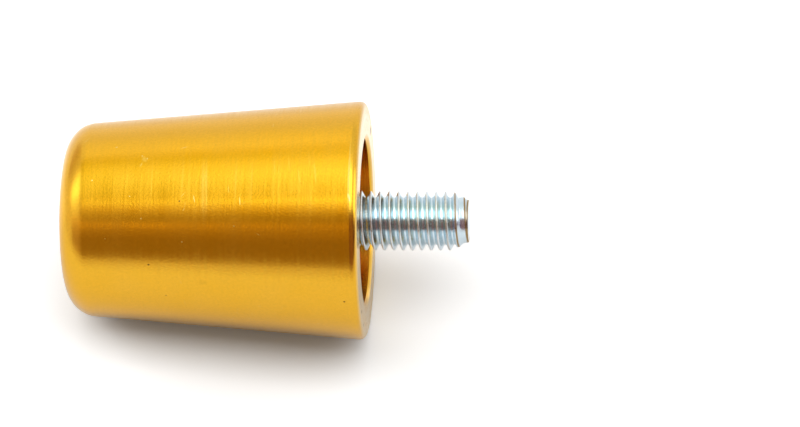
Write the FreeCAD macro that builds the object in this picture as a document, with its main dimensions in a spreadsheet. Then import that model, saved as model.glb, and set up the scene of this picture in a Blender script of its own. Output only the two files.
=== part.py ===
# Bar end weight: a tapered, turned weight for the end of a handlebar and the socket-head screw that fixes it.
#
# Millimetres, +Z up. The axis of the weight and of its screw is the X axis. The origin is the centre of the
# large end's face, which faces the grip: the weight runs to -X and the screw's thread stands out to +X.

import FreeCAD
import Part
import Sketcher
import math
import os

# Driving dimensions, in millimetres
SIZES = {
    # Turned outside of the weight
    "body_length": 40.0,
    "large_diameter": 32.0,      # at the grip end
    "small_diameter": 25.4,      # where the taper would meet the outer end's face
    "nose_radius": 4.0,          # rounding of the outer end
    "rim_radius": 0.8,           # rounding of the grip end's edge

    # Recess in the large end, over the end of the handlebar's tube
    "bar_diameter": 22.0,        # 7/8 inch handlebar
    "bar_clearance": 0.2,
    "recess_depth": 5.0,
    "recess_chamfer": 0.4,

    # Screw hole and counterbore
    "hole_clearance": 1.5,       # hole diameter over screw diameter
    "head_clearance": 2.2,       # counterbore diameter over head diameter
    "head_sink": 0.7,            # the head lies this far inside the outer end's face
    "counterbore_chamfer": 0.5,
    "counterbore_floor_bevel": 0.2,
    "hole_chamfer": 0.2,

    # Socket-head cap screw, M8 x 45
    "screw_diameter": 8.0,
    "screw_length": 45.0,        # from under the head to the tip
    "thread_length": 28.0,
    "thread_pitch": 1.25,
    "thread_allowance": 0.1,     # the crests lie this much inside the nominal diameter
    "tip_length": 2.2,           # cone at the end of the thread
    "tip_step": 1.1,             # how far the cone runs in from the crests, on the radius
    "head_diameter": 13.0,
    "head_height": 8.0,
    "head_chamfer": 0.6,
    "underhead_bevel": 0.3,      # where the shank meets the head
    "socket_width": 6.0,         # across the flats of the hexagon
    "socket_depth": 4.5,
    "socket_lead_in": 0.15,      # the mouth's cone stands this far outside the hexagon's corners
}

# Angles, in degrees, and the socket's number of flats
DRILL_POINT_SLOPE = 30.0         # a 120 degree drill point slopes this much from flat
THREAD_FLANK = 30.0              # each flank of a metric thread, from square to the axis
SOCKET_SIDES = 6

# Sizes that follow from the driving ones
RECESS_DIAMETER = "(sizes.bar_diameter + sizes.bar_clearance)"
HOLE_DIAMETER = "(sizes.screw_diameter + sizes.hole_clearance)"
COUNTERBORE_DIAMETER = "(sizes.head_diameter + sizes.head_clearance)"
COUNTERBORE_DEPTH = "(sizes.head_height + sizes.head_sink)"
COUNTERBORE_MOUTH = f"({COUNTERBORE_DIAMETER} + 2 * sizes.counterbore_chamfer)"
OUTER_END_X = "(-sizes.body_length)"
SEAT_X = f"({OUTER_END_X} + {COUNTERBORE_DEPTH})"
CREST_RADIUS = "((sizes.screw_diameter - sizes.thread_allowance) / 2)"
# The run-out of the thread is as deep as the pitch line: 3/8 of the sharp thread's height, on the radius
RUN_OUT_RADIUS = f"(sizes.screw_diameter / 2 - 3 / 8 * sizes.thread_pitch * cos({THREAD_FLANK}))"
THREAD_START_X = "(sizes.screw_length - sizes.thread_length)"
HEAD_TOP_X = "(-sizes.head_height)"
SOCKET_FLOOR_X = f"({HEAD_TOP_X} + sizes.socket_depth)"
SOCKET_RADIUS = "(sizes.socket_width / 2)"
SOCKET_CORNER_RADIUS = f"({SOCKET_RADIUS} / cos(180 / {SOCKET_SIDES}))"
SOCKET_MOUTH_RADIUS = f"({SOCKET_CORNER_RADIUS} + sizes.socket_lead_in)"
# The nose keeps a flat ring between its rounding and the counterbore's mouth
NOSE_SHARE_OF_RING = 0.9
NOSE_RADIUS = f"min(sizes.nose_radius; {NOSE_SHARE_OF_RING} * (sizes.small_diameter - {COUNTERBORE_MOUTH}) / 2)"

EDGE_TOLERANCE = 0.001           # mm, for finding a circular edge by its radius and place
VOLUME_TOLERANCE = 0.01          # share of the volume that a cut should take away

doc = FreeCAD.newDocument("BarEndWeight")
sheet = doc.addObject("Spreadsheet::Sheet", "sizes")
for row, (alias, size) in enumerate(SIZES.items(), start=1):
    sheet.set(f"A{row}", alias)
    sheet.set(f"B{row}", str(size))
    sheet.setAlias(f"B{row}", alias)
doc.recompute()


def value(expression):
    """The number that an expression on the sheet's sizes gives, in millimetres."""
    return float(sheet.evalExpression(expression))


def add_sketch(body, name, role, offset="0"):
    """A sketch on one of the body's origin planes, moved along that plane's normal by an expression."""
    sketch = body.newObject("Sketcher::SketchObject", name)
    plane = next(item for item in body.Origin.OriginFeatures if item.Role == role)
    sketch.AttachmentSupport = [(plane, "")]
    sketch.MapMode = "FlatFace"
    sketch.setExpression("AttachmentOffset.Base.z", offset)
    return sketch


def dimension(sketch, kind, constraint, expression):
    """Adds a dimension that is named after its kind and number, and is bound to the sheet."""
    index = sketch.addConstraint(constraint)
    name = f"{kind}_{index}"
    sketch.renameConstraint(index, name)
    sketch.setExpression(f"Constraints.{name}", expression)


def add_outline(body, name, corners):
    """A closed outline of straight edges in the XZ plane, for turning about X.

    Each corner is a pair of expressions, X and radius. A corner that shares one with the corner before it
    is held by a vertical or horizontal edge, one at zero lies on the axis, and the rest are dimensioned.
    """
    sketch = add_sketch(body, name, "XZ_Plane")
    count = len(corners)
    points = [FreeCAD.Vector(value(x), value(radius), 0) for x, radius in corners]
    for index in range(count):
        sketch.addGeometry(Part.LineSegment(points[index], points[(index + 1) % count]))
    for index in range(count):
        sketch.addConstraint(Sketcher.Constraint("Coincident", index, 2, (index + 1) % count, 1))
    for index, (x, radius) in enumerate(corners):
        before = corners[index - 1] if index > 0 else (None, None)
        if x == before[0]:
            sketch.addConstraint(Sketcher.Constraint("Vertical", index - 1))
        elif x == "0":
            sketch.addConstraint(Sketcher.Constraint("PointOnObject", index, 1, -2))
        else:
            constraint = Sketcher.Constraint("DistanceX", -1, 1, index, 1, points[index].x)
            dimension(sketch, "x", constraint, x)
        if radius == before[1]:
            sketch.addConstraint(Sketcher.Constraint("Horizontal", index - 1))
        elif radius == "0":
            sketch.addConstraint(Sketcher.Constraint("PointOnObject", index, 1, -1))
        else:
            constraint = Sketcher.Constraint("DistanceY", -1, 1, index, 1, points[index].y)
            dimension(sketch, "radius", constraint, radius)
    return sketch


def add_circle(body, name, diameter, offset="0"):
    """A circle about the X axis, in a plane square to it."""
    sketch = add_sketch(body, name, "YZ_Plane", offset)
    normal = FreeCAD.Vector(0, 0, 1)
    sketch.addGeometry(Part.Circle(FreeCAD.Vector(0, 0, 0), normal, value(diameter) / 2))
    sketch.addConstraint(Sketcher.Constraint("Coincident", 0, 3, -1, 1))
    dimension(sketch, "diameter", Sketcher.Constraint("Diameter", 0, value(diameter)), diameter)
    return sketch


def add_hexagon(body, name, corner_radius, offset):
    """A regular hexagon about the X axis with two flats level, in a plane square to the axis."""
    sketch = add_sketch(body, name, "YZ_Plane", offset)
    radius = value(corner_radius)
    turns = [math.tau * side / SOCKET_SIDES for side in range(SOCKET_SIDES)]
    points = [FreeCAD.Vector(radius * math.cos(angle), radius * math.sin(angle), 0) for angle in turns]
    for side in range(SOCKET_SIDES):
        sketch.addGeometry(Part.LineSegment(points[side], points[(side + 1) % SOCKET_SIDES]))
    circle = sketch.addGeometry(Part.Circle(FreeCAD.Vector(0, 0, 0), FreeCAD.Vector(0, 0, 1), radius), True)
    sketch.addConstraint(Sketcher.Constraint("Coincident", circle, 3, -1, 1))
    for side in range(SOCKET_SIDES):
        sketch.addConstraint(Sketcher.Constraint("Coincident", side, 2, (side + 1) % SOCKET_SIDES, 1))
        sketch.addConstraint(Sketcher.Constraint("PointOnObject", side, 1, circle))
    for side in range(SOCKET_SIDES - 1):
        sketch.addConstraint(Sketcher.Constraint("Equal", side, side + 1))
    sketch.addConstraint(Sketcher.Constraint("PointOnObject", 0, 1, -1))
    dimension(sketch, "corner_radius", Sketcher.Constraint("Radius", circle, radius), corner_radius)
    return sketch


def turn(body, kind, name, sketch):
    """Revolves an outline about the X axis, to add it (Revolution) or to cut it (Groove)."""
    feature = body.newObject(f"PartDesign::{kind}", name)
    feature.Profile = sketch
    feature.ReferenceAxis = (sketch, ["H_Axis"])
    feature.Angle = 360
    doc.recompute()
    return feature


def ring(feature, radius, x):
    """The name of the feature's circular edge about the X axis with this radius at this X."""
    for number, edge in enumerate(feature.Shape.Edges, start=1):
        curve = edge.Curve
        if not isinstance(curve, Part.Circle):
            continue
        same_radius = abs(curve.Radius - value(radius)) < EDGE_TOLERANCE
        same_place = curve.Center.distanceToPoint(FreeCAD.Vector(value(x), 0, 0)) < EDGE_TOLERANCE
        if same_radius and same_place:
            return f"Edge{number}"
    raise RuntimeError(f"{feature.Label} has no circular edge of radius {radius} at X {x}")


def dress(body, kind, name, size, edges):
    """Rounds (Fillet) or breaks (Chamfer) circular edges of the body's newest feature."""
    base = body.Tip
    feature = body.newObject(f"PartDesign::{kind}", name)
    feature.Base = (base, [ring(base, radius, x) for radius, x in edges])
    feature.setExpression("Radius" if kind == "Fillet" else "Size", size)
    doc.recompute()
    return feature


def expect_cut(feature, volume):
    """Stops the build where a cut doesn't take away the volume it should."""
    removed = feature.BaseFeature.Shape.Volume - feature.Shape.Volume
    if abs(removed - volume) > VOLUME_TOLERANCE * volume:
        raise RuntimeError(f"{feature.Label} takes away {removed:.2f} mm3 and not {volume:.2f} mm3")


def cylinder_volume(diameter, length):
    """Volume of a round hole, from two expressions."""
    return math.pi / 4 * value(diameter) ** 2 * value(length)


def make_weight_body():
    """The weight: a turned taper with a stepped bore from end to end."""
    body = doc.addObject("PartDesign::Body", "weight_body")
    body.Label = "weight_body"

    # Turned outside: a straight taper with a full rounding at the outer end and a small one at the grip end
    taper = add_outline(body, "taper_outline", [
        (OUTER_END_X, "0"),
        (OUTER_END_X, "sizes.small_diameter / 2"),
        ("0", "sizes.large_diameter / 2"),
        ("0", "0"),
    ])
    turn(body, "Revolution", "taper", taper)
    dress(body, "Fillet", "nose", NOSE_RADIUS, [("sizes.small_diameter / 2", OUTER_END_X)])
    dress(body, "Fillet", "rim", "sizes.rim_radius", [("sizes.large_diameter / 2", "0")])

    # Round recess in the large end, a slide fit over the handlebar's tube
    recess = body.newObject("PartDesign::Pocket", "bar_recess")
    recess.Profile = add_circle(body, "bar_recess_circle", RECESS_DIAMETER)
    recess.Reversed = False
    recess.setExpression("Length", "sizes.recess_depth")
    doc.recompute()
    expect_cut(recess, cylinder_volume(RECESS_DIAMETER, "sizes.recess_depth"))

    # Counterbored clearance hole for the screw, drilled from the outer end
    hole_circle = add_circle(body, "screw_hole_circle", HOLE_DIAMETER, OUTER_END_X)
    doc.recompute()
    hole = body.newObject("PartDesign::Hole", "screw_hole")
    hole.Profile = hole_circle
    hole.Reversed = True
    hole.ThreadType = "None"
    hole.Threaded = False
    hole.HoleCutType = "Counterbore"
    hole.DepthType = "ThroughAll"
    hole.setExpression("Diameter", HOLE_DIAMETER)
    hole.setExpression("HoleCutDiameter", COUNTERBORE_DIAMETER)
    hole.setExpression("HoleCutDepth", COUNTERBORE_DEPTH)
    doc.recompute()
    narrow_length = f"sizes.body_length - {COUNTERBORE_DEPTH} - sizes.recess_depth"
    expect_cut(hole, cylinder_volume(COUNTERBORE_DIAMETER, COUNTERBORE_DEPTH)
               + cylinder_volume(HOLE_DIAMETER, narrow_length))

    # Bevel that the tool's corner leaves at the counterbore's floor, and the broken edges of every bore
    dress(body, "Chamfer", "counterbore_corner", "sizes.counterbore_floor_bevel",
          [(f"{COUNTERBORE_DIAMETER} / 2", SEAT_X)])
    dress(body, "Chamfer", "counterbore_mouth", "sizes.counterbore_chamfer",
          [(f"{COUNTERBORE_DIAMETER} / 2", OUTER_END_X)])
    dress(body, "Chamfer", "recess_mouth", "sizes.recess_chamfer", [(f"{RECESS_DIAMETER} / 2", "0")])
    dress(body, "Chamfer", "hole_edges", "sizes.hole_chamfer",
          [(f"{HOLE_DIAMETER} / 2", SEAT_X), (f"{HOLE_DIAMETER} / 2", "-sizes.recess_depth")])
    return body


def make_fixing_screw():
    """The socket-head cap screw, drawn with the underside of its head at X = 0 and its thread to +X."""
    body = doc.addObject("PartDesign::Body", "fixing_screw")
    body.Label = "fixing_screw"

    # Turned blank: head, plain shank, run-out, thread at its crests, and the coned tip
    blank = add_outline(body, "blank_outline", [
        (HEAD_TOP_X, "0"),
        (HEAD_TOP_X, "sizes.head_diameter / 2"),
        ("0", "sizes.head_diameter / 2"),
        ("0", "sizes.screw_diameter / 2"),
        (f"{THREAD_START_X} - sizes.thread_pitch", "sizes.screw_diameter / 2"),
        (f"{THREAD_START_X} - sizes.thread_pitch", RUN_OUT_RADIUS),
        (THREAD_START_X, RUN_OUT_RADIUS),
        (THREAD_START_X, CREST_RADIUS),
        ("sizes.screw_length - sizes.tip_length", CREST_RADIUS),
        ("sizes.screw_length", f"{CREST_RADIUS} - sizes.tip_step"),
        ("sizes.screw_length", "0"),
    ])
    turn(body, "Revolution", "blank", blank)
    dress(body, "Chamfer", "underhead", "sizes.underhead_bevel", [("sizes.screw_diameter / 2", "0")])
    dress(body, "Chamfer", "head_edge", "sizes.head_chamfer", [("sizes.head_diameter / 2", HEAD_TOP_X)])

    # Hexagon socket for the key, with the drill point left at its floor and a coned mouth
    socket = body.newObject("PartDesign::Pocket", "key_socket")
    socket.Profile = add_hexagon(body, "key_socket_hexagon", SOCKET_CORNER_RADIUS, HEAD_TOP_X)
    socket.Reversed = True
    socket.setExpression("Length", "sizes.socket_depth")
    doc.recompute()
    hexagon_area = SOCKET_SIDES * math.tan(math.pi / SOCKET_SIDES) * value(SOCKET_RADIUS) ** 2
    expect_cut(socket, hexagon_area * value("sizes.socket_depth"))

    drill_point_outline = add_outline(body, "drill_point_outline", [
        (SOCKET_FLOOR_X, "0"),
        (SOCKET_FLOOR_X, SOCKET_RADIUS),
        (f"{SOCKET_FLOOR_X} + {SOCKET_RADIUS} * tan({DRILL_POINT_SLOPE})", "0"),
    ])
    drill_point = turn(body, "Groove", "drill_point", drill_point_outline)
    cone_height = f"{SOCKET_RADIUS} * tan({DRILL_POINT_SLOPE})"
    expect_cut(drill_point, cylinder_volume("sizes.socket_width", cone_height) / 3)

    mouth_outline = add_outline(body, "socket_mouth_outline", [
        (HEAD_TOP_X, "0"),
        (HEAD_TOP_X, SOCKET_MOUTH_RADIUS),
        (f"{HEAD_TOP_X} + {SOCKET_MOUTH_RADIUS} * tan({DRILL_POINT_SLOPE})", "0"),
    ])
    mouth = turn(body, "Groove", "socket_mouth", mouth_outline)
    if mouth.Shape.Volume >= drill_point.Shape.Volume:
        raise RuntimeError("the cone at the socket's mouth cuts nothing")

    # Driven home: the head's underside lies on the counterbore's floor
    body.setExpression("Placement.Base.x", SEAT_X)
    return body


def check_objects(bodies):
    """Stops the build where an object failed or a piece isn't one valid solid."""
    for item in doc.Objects:
        if "Invalid" in item.State or "Error" in item.State:
            raise RuntimeError(f"{item.Label} failed: {item.State}")
    for body in bodies:
        shape = body.Shape
        if shape.isNull() or not shape.isValid() or len(shape.Solids) != 1:
            raise RuntimeError(f"{body.Label} isn't one valid solid")


pieces = [make_weight_body(), make_fixing_screw()]
doc.recompute()
check_objects(pieces)

os.makedirs("parts", exist_ok=True)
for piece in pieces:
    piece.Shape.exportStep(f"parts/{piece.Label}.step")
    print(f"{piece.Label}: {piece.Shape.Volume:.1f} mm3")
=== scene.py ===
import math

import bmesh
import bpy
from mathutils import Matrix, Vector


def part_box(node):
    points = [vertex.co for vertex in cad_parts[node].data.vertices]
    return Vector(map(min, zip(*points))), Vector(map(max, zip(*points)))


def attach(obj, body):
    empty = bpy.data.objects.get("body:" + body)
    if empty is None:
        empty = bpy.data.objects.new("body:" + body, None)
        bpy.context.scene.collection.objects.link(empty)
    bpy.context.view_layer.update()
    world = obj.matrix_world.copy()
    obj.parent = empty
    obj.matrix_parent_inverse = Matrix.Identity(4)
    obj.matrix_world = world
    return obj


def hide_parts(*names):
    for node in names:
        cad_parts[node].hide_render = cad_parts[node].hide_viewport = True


bl_info = {
    "name": "Bar End Weight",
    "version": (1, 0, 0),
    "blender": (4, 5, 0),
    "location": "3D View > Sidebar > Bar End",
    "description": "Makes a gold anodised bar end weight, its zinc-plated screw and a white studio",
    "category": "Add Mesh",
}

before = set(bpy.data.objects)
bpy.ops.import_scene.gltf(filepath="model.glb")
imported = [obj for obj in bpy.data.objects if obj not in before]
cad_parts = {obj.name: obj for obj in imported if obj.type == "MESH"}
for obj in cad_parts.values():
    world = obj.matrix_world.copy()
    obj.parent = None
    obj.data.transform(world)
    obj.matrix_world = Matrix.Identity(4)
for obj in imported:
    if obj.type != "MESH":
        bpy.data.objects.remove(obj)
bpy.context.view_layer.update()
WEIGHT_LOW, WEIGHT_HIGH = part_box("weight_body")
SCREW_LOW, SCREW_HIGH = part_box("fixing_screw")

MM = 0.001
MICRON = 0.000001

# What every length and every colour in the panel has
LENGTH = {"subtype": "DISTANCE", "unit": "LENGTH"}
COLOUR = {"size": 3, "min": 0.0, "max": 1.0, "subtype": "COLOR"}

# The photograph's camera: where it stands, its own right, up and back directions, and its lens
CAMERA_PLACE = (0.04746, -0.37022, 0.43999)
CAMERA_RIGHT = (0.997212, 0.050611, -0.054826)
CAMERA_UP = (-0.003293, 0.763926, 0.645296)
CAMERA_BACK = (0.074542, -0.643316, 0.761963)
CAMERA_LENS = 194.33
CAMERA_SENSOR = 36.0

# The weight lies on its taper, so the floor meets its axis at the taper's own angle
TAPER_DROP = 3.3 * MM            # how far the taper's radius falls over its whole length

# Marks of wear on the tapered side, some of them partly painted highlight: place along the axis in mm,
# angle round it up from the front, size along the axis and size round it in mm, tilt, and how strong. The
# finest are drawn 0.1 mm wide, so that they show
PALE_MARKS = [
    # Rings that the turning tool left deeper, placed across the bright band. Their paler colour is partly
    # painted highlight: the streaks of light that the rings spread
    (-20.35, 66, 0.50, 10.5, 2, 0.14), (-19.95, 68, 0.30, 9.0, 2, 0.16),
    (-20.20, 66, 1.3, 10.5, 2, 0.07), (-27.24, 72, 0.20, 7.0, 0, 0.07),
    (-23.11, 71, 0.20, 8.0, 0, 0.07), (-16.06, 69, 0.24, 9.0, 0, 0.08),
    (-13.93, 68, 0.24, 9.0, 0, 0.09), (-9.13, 80, 0.24, 3.2, 6, 0.11), (-5.60, 74, 0.24, 3.8, 6, 0.13),
    (-7.70, 72, 0.22, 3.0, 9, 0.10), (-6.50, 82, 0.20, 3.4, 5, 0.09), (-11.0, 78, 0.20, 4.0, 5, 0.08),
    # Scratches
    (-21.50, 61.2, 0.16, 1.1, 12, 0.55), (-22.97, 63.6, 0.10, 1.1, -35, 0.28),
    (-15.42, 59.6, 0.18, 1.4, 4, 0.42), (-14.90, 58.5, 0.10, 0.8, -40, 0.25),
    (-22.86, 55.4, 0.10, 0.7, -30, 0.35), (-23.22, 92.5, 1.2, 0.12, 25, 0.35),
    (-12.99, 42.8, 0.9, 0.12, -30, 0.35), (-32.37, 95.8, 0.40, 0.18, 30, 0.50),
    (-1.05, 61.0, 0.34, 1.4, 12, 0.60),
    # Edge of the rim, drawn paler only where its highlight line falls: partly dye worn thin, partly a
    # painted highlight that makes that line whiter
    (-1.12, 72, 0.34, 12.0, 0, 0.25),
    # Smudge and pits
    (-28.42, 85.6, 0.7, 1.1, 20, 0.22), (-28.75, 88.0, 0.25, 0.25, 0, 0.50),
    (-28.05, 86.0, 0.2, 0.3, 0, 0.60), (-28.80, 82.0, 0.24, 0.9, -20, 0.30),
    (-35.23, 73.1, 0.25, 0.25, 0, 0.60), (-30.08, 63.1, 0.20, 0.20, 0, 0.50),
    (-28.50, 50.6, 0.24, 0.24, 0, 0.60), (-16.17, 46.8, 0.22, 0.22, 0, 0.60),
    (-23.09, 38.1, 0.26, 0.22, 0, 0.80), (-33.34, 39.0, 0.18, 0.18, 0, 0.45),
]
DARK_MARKS = [
    (-37.90, 66.0, 0.22, 0.24, 0, 0.80), (-23.44, 60.0, 0.26, 0.24, 0, 0.90),
    (-27.67, 24.5, 0.30, 0.28, 0, 1.00), (-20.61, 14.9, 1.3, 0.90, 15, 0.04),
    (-25.69, 4.0, 0.24, 0.20, 0, 0.60), (-1.92, 7.7, 0.28, 0.28, 0, 0.90),
]
# Nicks in the flat ring at the large end: as above, with the distance from the axis in place of the place
# along it, and the size away from the axis in place of the size along it
FACE_MARKS = [
    (13.55, 166.0, 1.5, 0.80, 0, 1.00), (14.07, -8.9, 0.75, 0.60, 0, 1.00),
    (14.61, -21.4, 0.60, 0.50, 0, 0.90), (15.00, 86.0, 0.30, 0.35, 0, 0.60),
]

# Fineness of the meshes
WEIGHT_SEGMENTS = 320
SCREW_SEGMENTS = 192
KNURL_RIDGES = 48


def linear(code):
    """Linear red, green and blue of an sRGB hex colour."""
    channels = [int(code[start:start + 2], 16) / 255 for start in (1, 3, 5)]
    return tuple(c / 12.92 if c <= 0.04045 else ((c + 0.055) / 1.055) ** 2.4 for c in channels)


def opaque(colour):
    """A colour with its alpha."""
    return (colour[0], colour[1], colour[2], 1.0)


def add_node(tree, kind, inputs, **settings):
    """Adds a node with its settings. An input that is given a socket gets a link, and any other a value."""
    node = tree.nodes.new(kind)
    for name, setting in settings.items():
        setattr(node, name, setting)
    for name, given in inputs.items():
        if isinstance(given, bpy.types.NodeSocket):
            tree.links.new(given, node.inputs[name])
        else:
            node.inputs[name].default_value = given
    return node


def new_material(name):
    """A material with an empty node tree, and that tree."""
    material = bpy.data.materials.new(name)
    material.use_nodes = True
    material.node_tree.nodes.clear()
    return material, material.node_tree


def from_axis(tree, place):
    """Distance of a place from the X axis."""
    across = add_node(tree, "ShaderNodeVectorMath", {0: place, 1: (0.0, 1.0, 1.0)}, operation="MULTIPLY")
    length = add_node(tree, "ShaderNodeVectorMath", {0: across.outputs[0]}, operation="LENGTH")
    return length.outputs["Value"]


def fill_ramp(node, stops):
    """Sets a colour ramp's stops from pairs of place and linear colour."""
    elements = node.color_ramp.elements
    while len(elements) > 1:
        elements.remove(elements[-1])
    elements[0].position = stops[0][0]
    elements[0].color = opaque(stops[0][1])
    for place, colour in stops[1:]:
        elements.new(place).color = opaque(colour)


class WeightSettings(bpy.types.PropertyGroup):
    """Sizes and colours of the turned weight."""

    length: bpy.props.FloatProperty(
        name="Length", description="From end to end, along the axis",
        default=WEIGHT_HIGH.x - WEIGHT_LOW.x, **LENGTH)
    large_diameter: bpy.props.FloatProperty(
        name="Large End", description="Diameter at the grip end, before its edge is rounded",
        default=32.0 * MM, **LENGTH)
    nose_radius: bpy.props.FloatProperty(
        name="Nose Radius", description="Rounding of the outer end",
        default=4.0 * MM, **LENGTH)
    rim_radius: bpy.props.FloatProperty(
        name="Rim Radius", description="Rounding of the grip end's edge",
        default=0.8 * MM, **LENGTH)
    edge_radius: bpy.props.FloatProperty(
        name="Edge Radius", description="Tiny rounding that polishing leaves on the broken edges",
        default=0.06 * MM, **LENGTH)
    recess_diameter: bpy.props.FloatProperty(
        name="Recess", description="Diameter of the recess for the handlebar",
        default=22.2 * MM, **LENGTH)
    recess_depth: bpy.props.FloatProperty(
        name="Recess Depth", description="Depth of the recess for the handlebar",
        default=5.0 * MM, **LENGTH)
    recess_chamfer: bpy.props.FloatProperty(
        name="Recess Chamfer", description="Broken edge at the recess's mouth",
        default=0.4 * MM, **LENGTH)
    hole_diameter: bpy.props.FloatProperty(
        name="Screw Hole", description="Diameter of the clearance hole",
        default=9.5 * MM, **LENGTH)
    hole_chamfer: bpy.props.FloatProperty(
        name="Hole Chamfer", description="Broken edges of the clearance hole",
        default=0.2 * MM, **LENGTH)
    counterbore_diameter: bpy.props.FloatProperty(
        name="Counterbore", description="Diameter of the counterbore for the screw's head",
        default=15.2 * MM, **LENGTH)
    counterbore_depth: bpy.props.FloatProperty(
        name="Counterbore Depth", description="From the outer end's face to the seat of the head",
        default=8.7 * MM, **LENGTH)
    counterbore_chamfer: bpy.props.FloatProperty(
        name="Counterbore Chamfer", description="Broken edge at the counterbore's mouth",
        default=0.5 * MM, **LENGTH)
    floor_bevel: bpy.props.FloatProperty(
        name="Floor Bevel",
        description="Bevel that the tool's corner leaves at the counterbore's floor",
        default=0.2 * MM, **LENGTH)
    colour: bpy.props.FloatVectorProperty(
        name="Anodised Gold", description="Colour of the dyed oxide over the aluminium",
        default=linear("#EBB130"), **COLOUR)
    # Partly painted sheen: the flat ring is drawn paler so that its grazing reflection looks brighter
    faced_and_sheen_colour: bpy.props.FloatVectorProperty(
        name="Faced End", description="Paler gold of the flat ring, which took the dye less well",
        default=linear("#F0CE86"), **COLOUR)
    # Also the colour of the painted highlight on the turning rings and on the rim's edge
    scratch_and_highlight_colour: bpy.props.FloatVectorProperty(
        name="Scratches", description="Pale bare metal in a scratch or pit",
        default=linear("#FFE9A6"), **COLOUR)
    pit_colour: bpy.props.FloatVectorProperty(
        name="Dark Pits", description="Dirt in a pit or nick",
        default=linear("#6A4426"), **COLOUR)


class ScrewSettings(bpy.types.PropertyGroup):
    """Sizes and colours of the socket-head cap screw."""

    seat: bpy.props.FloatProperty(
        name="Seat", description="Where the underside of the head lies on the axis",
        default=-31.3 * MM, **LENGTH)
    head_diameter: bpy.props.FloatProperty(
        name="Head", description="Diameter of the head",
        default=13.0 * MM, **LENGTH)
    head_chamfer: bpy.props.FloatProperty(
        name="Head Chamfer", description="Chamfer round the head's face",
        default=0.6 * MM, **LENGTH)
    socket_width: bpy.props.FloatProperty(
        name="Socket", description="Width of the hexagon socket across its flats",
        default=6.0 * MM, **LENGTH)
    socket_depth: bpy.props.FloatProperty(
        name="Socket Depth", description="Depth of the hexagon socket",
        default=4.5 * MM, **LENGTH)
    diameter: bpy.props.FloatProperty(
        name="Shank", description="Diameter of the plain shank",
        default=8.0 * MM, **LENGTH)
    crest_diameter: bpy.props.FloatProperty(
        name="Crests", description="Diameter over the thread's crests",
        default=7.9 * MM, **LENGTH)
    pitch: bpy.props.FloatProperty(
        name="Pitch", description="Distance from one crest of the thread to the next",
        default=1.25 * MM, **LENGTH)
    thread_length: bpy.props.FloatProperty(
        name="Thread Length", description="Length of the full thread up to the tip",
        default=28.0 * MM, **LENGTH)
    tip_length: bpy.props.FloatProperty(
        name="Tip Length", description="Length of the cone at the tip",
        default=2.2 * MM, **LENGTH)
    tip_step: bpy.props.FloatProperty(
        name="Tip Step", description="How far the tip's cone runs in from the crests",
        default=1.1 * MM, **LENGTH)
    crest_place: bpy.props.FloatProperty(
        name="Crest Place",
        description="Where a crest stands on the axis, at the upper edge that the camera sees",
        default=0.58 * MM, **LENGTH)
    colour: bpy.props.FloatVectorProperty(
        name="Bright Zinc", description="Bluish white of the clear-passivated zinc",
        default=linear("#D6E6EE"), **COLOUR)
    tint_colour: bpy.props.FloatVectorProperty(
        name="Passivation Tint", description="Pale tint that the passivation leaves on the crests",
        default=linear("#F2F3F5"), **COLOUR)
    tip_colour: bpy.props.FloatVectorProperty(
        name="Tip Tint", description="Brown tint of the last crests and of the tip's edge",
        default=linear("#9A8053"), **COLOUR)


class StageSettings(bpy.types.PropertyGroup):
    """Floor, lamps and surroundings."""

    floor_colour: bpy.props.FloatVectorProperty(
        name="Floor", description="Colour of the pale floor",
        default=linear("#FAFAFA"), **COLOUR)
    room_colour: bpy.props.FloatVectorProperty(
        name="Room", description="Dim warm room in front of the table",
        default=linear("#9E8040"), **COLOUR)
    top_power: bpy.props.FloatProperty(
        name="Overhead Lamp", description="Power of the large soft lamp above the object",
        default=1.0, min=0.0, unit="POWER")
    left_power: bpy.props.FloatProperty(
        name="Left Lamp", description="Power of the soft lamp beside the small end",
        default=1.15, min=0.0, unit="POWER")
    right_power: bpy.props.FloatProperty(
        name="Right Lamp", description="Power of the soft lamp beside the large end",
        default=0.5, min=0.0, unit="POWER")


def rounded_outline(corners):
    """Points and outward normals along a closed outline in the (x, radius) plane, given clockwise.

    Each corner is x, radius, its rounding and the number of steps that the rounding is drawn in.
    """
    points = []
    count = len(corners)
    for index, (x, radius, rounding, steps) in enumerate(corners):
        corner = Vector((x, radius))
        before = (corner - Vector(corners[index - 1][:2])).normalized()
        after = (Vector(corners[(index + 1) % count][:2]) - corner).normalized()
        turn = math.atan2(before.x * after.y - before.y * after.x, before.dot(after))
        side = -1 if turn > 0 else 1
        start = corner - before * rounding * math.tan(abs(turn) / 2)
        first_normal = Vector((-before.y, before.x))
        centre = start - first_normal * rounding * side
        for step in range(steps + 1):
            normal = first_normal.copy()
            normal.rotate(Matrix.Rotation(turn * step / steps, 2))
            points.append((centre + normal * rounding * side, normal))
    return points


def make_object(name, points, faces):
    """A mesh object in the row frame, in metres."""
    mesh = bpy.data.meshes.new(name)
    mesh.from_pydata(points, [], faces)
    mesh.validate()
    made = bpy.data.objects.new(name, mesh)
    bpy.context.scene.collection.objects.link(made)
    return made


def lathe(name, outline, segments):
    """Turns a closed outline about the X axis, with the outline's own normals for its shading."""
    points = []
    normals = []
    for step in range(segments):
        angle = 2 * math.pi * step / segments
        cosine = math.cos(angle)
        sine = math.sin(angle)
        for place, normal in outline:
            points.append((place.x, place.y * cosine, place.y * sine))
            normals.append((normal.x, normal.y * cosine, normal.y * sine))
    count = len(outline)
    faces = []
    for step in range(segments):
        here = step * count
        there = (step + 1) % segments * count
        for index in range(count):
            following = (index + 1) % count
            faces.append((here + index, there + index, there + following, here + following))
    made = make_object(name, points, faces)
    made.data.shade_smooth()
    made.data.normals_split_custom_set_from_vertices(normals)
    return made


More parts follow.
